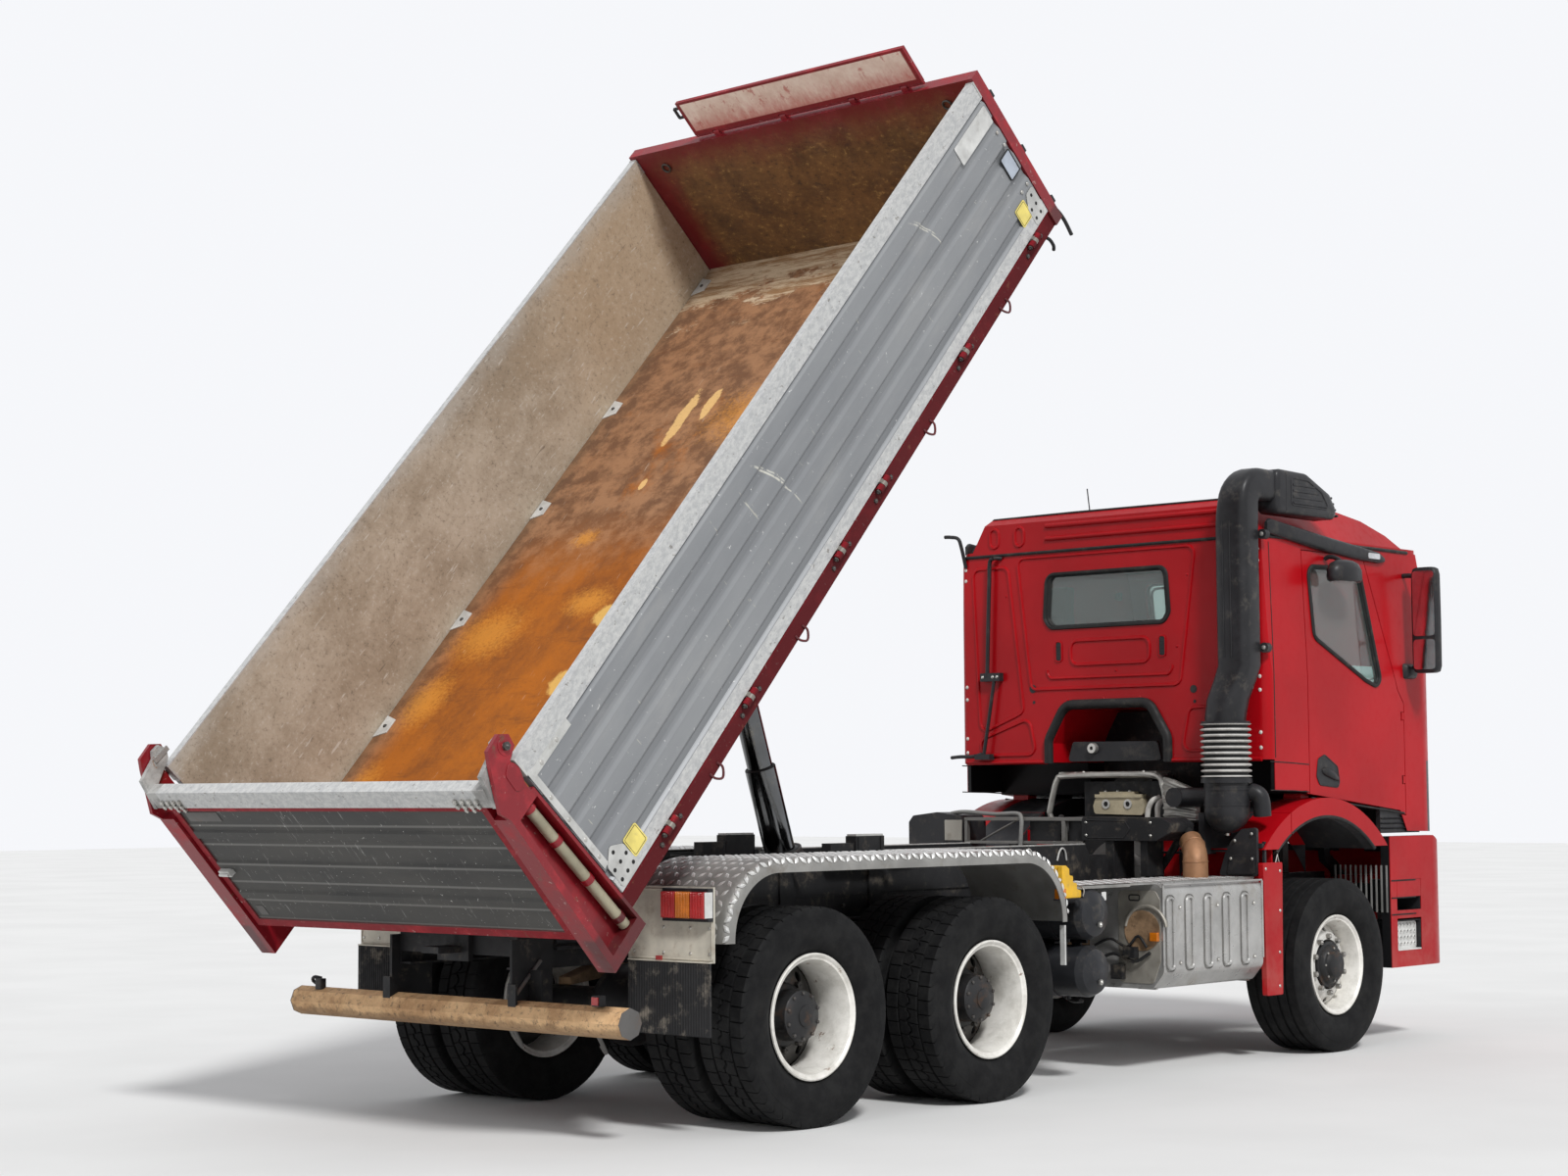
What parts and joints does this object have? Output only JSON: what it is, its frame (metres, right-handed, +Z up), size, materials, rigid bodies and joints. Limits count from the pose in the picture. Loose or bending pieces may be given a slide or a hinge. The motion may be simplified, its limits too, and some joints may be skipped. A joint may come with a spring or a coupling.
{
  "type": "three-axle tipper truck with raised bed",
  "caption": "Tipper truck with a short day cab, drop-sided bed raised on a telescopic ram, pendulum tailgate and three axles.",
  "frame": {"origin": "on the ground, under the middle of the truck's length and width", "axes": "+X to the truck's right, +Y forward, +Z up"},
  "size_m": [2.82, 8.2747, 5.4258],
  "materials": {
    "cab_red": "gloss crimson paint",
    "bed_red": "worn dark red paint",
    "bed_rust": "scoured plate with orange rust",
    "side_aluminium": "matt grey aluminium boards",
    "bright_aluminium": "pressed aluminium",
    "tread_aluminium": "raised tread plate",
    "chassis_black": "matt black chassis paint",
    "cast_grey": "cast iron",
    "rusty_steel": "brown rusty steel",
    "tank_black": "satin black",
    "cream_paint": "pale grey paint",
    "chock_yellow": "moulded yellow",
    "flap_rubber": "ribbed rubber",
    "lamp_red": "red and amber lens",
    "lamp_clear": "clear lens",
    "black_plastic": "moulded black plastic",
    "dash_plastic": "dark grey plastic",
    "seat_fabric": "dark grey cloth",
    "window_glass": "lightly tinted glass",
    "ram_chrome": "hard chromed tubes",
    "tyre_rubber": "worn black rubber",
    "rim_paint": "silver rim paint"
  },
  "bodies": {
    "chassis": {"chassis_frame": "chassis_black", "subframe": "chassis_black", "engine_block": "cast_grey", "front_axle": "chassis_black", "rear_axles": "chassis_black", "leaf_springs": "chassis_black", "exhaust_box": "bright_aluminium", "exhaust_elbow": "rusty_steel", "air_tanks": "tank_black", "fuel_tank": "bright_aluminium", "rear_mudguards": "tread_aluminium", "wheel_chocks": "chock_yellow", "mudflaps": "flap_rubber", "lamp_brackets": "cream_paint", "tail_lamps": "lamp_red", "underrun_bar": "rusty_steel", "tow_coupling": "chassis_black", "bumper": "cab_red", "headlamps": "lamp_clear", "wing_panels": "cab_red", "air_filter": "black_plastic"},
    "cab": {"cab_shell": "cab_red", "roof_cap": "cab_red", "cab_glass": "window_glass", "grille_panel": "cab_red", "wheel_arches": "cab_red", "snorkel": "black_plastic", "seats": "seat_fabric", "dashboard": "dash_plastic", "mirrors": "black_plastic"},
    "door_right": {"door_right": "cab_red", "door_glass_right": "window_glass"},
    "door_left": {"door_left": "cab_red", "door_glass_left": "window_glass"},
    "bed": {"bed_floor": "bed_rust", "headboard": "bed_red", "rear_posts": "bed_red"},
    "flap": {"loading_flap": "bed_red"},
    "side_right": {"drop_side_right": "side_aluminium"},
    "side_left": {"drop_side_left": "side_aluminium"},
    "gate": {"tailgate": "side_aluminium"},
    "ram_barrel": {"ram_barrel": "ram_chrome"},
    "ram_stage_1": {"ram_stage_1": "ram_chrome"},
    "ram_stage_2": {"ram_stage_2": "ram_chrome"},
    "ram_stage_3": {"ram_stage_3": "ram_chrome"},
    "ram_stage_4": {"ram_stage_4": "ram_chrome"},
    "knuckle_right": {"knuckle_right": "chassis_black"},
    "knuckle_left": {"knuckle_left": "chassis_black"},
    "wheel_front_right": {"tyre_front_right": "tyre_rubber", "rim_front_right": "rim_paint"},
    "wheel_front_left": {"tyre_front_left": "tyre_rubber", "rim_front_left": "rim_paint"},
    "wheel_mid_right": {"tyre_mid_right": "tyre_rubber", "rim_mid_right": "rim_paint"},
    "wheel_mid_left": {"tyre_mid_left": "tyre_rubber", "rim_mid_left": "rim_paint"},
    "wheel_rear_right": {"tyre_rear_right": "tyre_rubber", "rim_rear_right": "rim_paint"},
    "wheel_rear_left": {"tyre_rear_left": "tyre_rubber", "rim_rear_left": "rim_paint"}
  },
  "joints": [
    {"name": "bed_tip", "type": "hinge", "parent": "chassis", "child": "bed", "pos_m": [0, -3.045, 1.217], "axis": [1, 0, 0], "range_deg": [-47.9, 0]},
    {"name": "ram_swing", "type": "hinge", "parent": "chassis", "child": "ram_barrel", "pos_m": [0, -0.83, 0.98], "axis": [1, 0, 0], "range_deg": [-42.49, 0]},
    {"name": "ram_stage_1_slide", "type": "slide", "parent": "ram_barrel", "child": "ram_stage_1", "axis": [0, -0.3257, 0.9455], "range_m": [-0.45162, 0]},
    {"name": "ram_stage_2_slide", "type": "slide", "parent": "ram_stage_1", "child": "ram_stage_2", "axis": [0, -0.3257, 0.9455], "range_m": [-0.45162, 0]},
    {"name": "ram_stage_3_slide", "type": "slide", "parent": "ram_stage_2", "child": "ram_stage_3", "axis": [0, -0.3257, 0.9455], "range_m": [-0.45162, 0]},
    {"name": "ram_stage_4_slide", "type": "slide", "parent": "ram_stage_3", "child": "ram_stage_4", "axis": [0, -0.3257, 0.9455], "range_m": [-0.45162, 0]},
    {"name": "gate_swing", "type": "hinge", "parent": "bed", "child": "gate", "pos_m": [0, -4.00017, 1.76334], "axis": [-1, 0, 0], "range_deg": [0, 75]},
    {"name": "side_right_drop", "type": "hinge", "parent": "bed", "child": "side_right", "pos_m": [1.262, -3.13701, 1.30013], "axis": [0, 0.6704, 0.742], "range_deg": [0, 178]},
    {"name": "side_left_drop", "type": "hinge", "parent": "bed", "child": "side_left", "pos_m": [-1.262, -3.13701, 1.30013], "axis": [0, -0.6704, -0.742], "range_deg": [0, 178]},
    {"name": "flap_fold", "type": "hinge", "parent": "bed", "child": "flap", "pos_m": [0, -0.79021, 5.2607], "axis": [-1, 0, 0], "range_deg": [0, 90]},
    {"name": "cab_tilt", "type": "hinge", "parent": "chassis", "child": "cab", "pos_m": [0, 4.02, 0.95], "axis": [-1, 0, 0], "range_deg": [0, 60]},
    {"name": "door_right_swing", "type": "hinge", "parent": "cab", "child": "door_right", "pos_m": [1.143, 3.655, 2], "axis": [0, 0, 1], "range_deg": [0, 65]},
    {"name": "door_left_swing", "type": "hinge", "parent": "cab", "child": "door_left", "pos_m": [-1.143, 3.655, 2], "axis": [0, 0, -1], "range_deg": [0, 65]},
    {"name": "steer_left", "type": "hinge", "parent": "chassis", "child": "knuckle_left", "pos_m": [-0.925, 2.72, 0.515], "axis": [0, 0, 1], "range_deg": [-35, 35]},
    {"name": "steer_right", "type": "hinge", "parent": "chassis", "child": "knuckle_right", "pos_m": [0.925, 2.72, 0.515], "axis": [0, 0, 1], "range_deg": [-35, 35]},
    {"name": "roll_front_right", "type": "hinge", "parent": "knuckle_right", "child": "wheel_front_right", "pos_m": [1.045, 2.72, 0.515], "axis": [1, 0, 0], "continuous": true},
    {"name": "roll_front_left", "type": "hinge", "parent": "knuckle_left", "child": "wheel_front_left", "pos_m": [-1.045, 2.72, 0.515], "axis": [1, 0, 0], "continuous": true},
    {"name": "roll_mid_right", "type": "hinge", "parent": "chassis", "child": "wheel_mid_right", "pos_m": [0.915, -0.68, 0.515], "axis": [1, 0, 0], "continuous": true},
    {"name": "roll_mid_left", "type": "hinge", "parent": "chassis", "child": "wheel_mid_left", "pos_m": [-0.915, -0.68, 0.515], "axis": [1, 0, 0], "continuous": true},
    {"name": "roll_rear_right", "type": "hinge", "parent": "chassis", "child": "wheel_rear_right", "pos_m": [0.915, -2.03, 0.515], "axis": [1, 0, 0], "continuous": true},
    {"name": "roll_rear_left", "type": "hinge", "parent": "chassis", "child": "wheel_rear_left", "pos_m": [-0.915, -2.03, 0.515], "axis": [1, 0, 0], "continuous": true}
  ],
  "couplings": [
    {"joint": "ram_swing", "follows": "bed_tip", "ratio": 0.88679},
    {"joint": "ram_stage_1_slide", "follows": "bed_tip", "m_per_rad": 0.5402},
    {"joint": "ram_stage_2_slide", "follows": "bed_tip", "m_per_rad": 0.5402},
    {"joint": "ram_stage_3_slide", "follows": "bed_tip", "m_per_rad": 0.5402},
    {"joint": "ram_stage_4_slide", "follows": "bed_tip", "m_per_rad": 0.5402},
    {"joint": "steer_right", "follows": "steer_left", "ratio": 1}
  ]
}
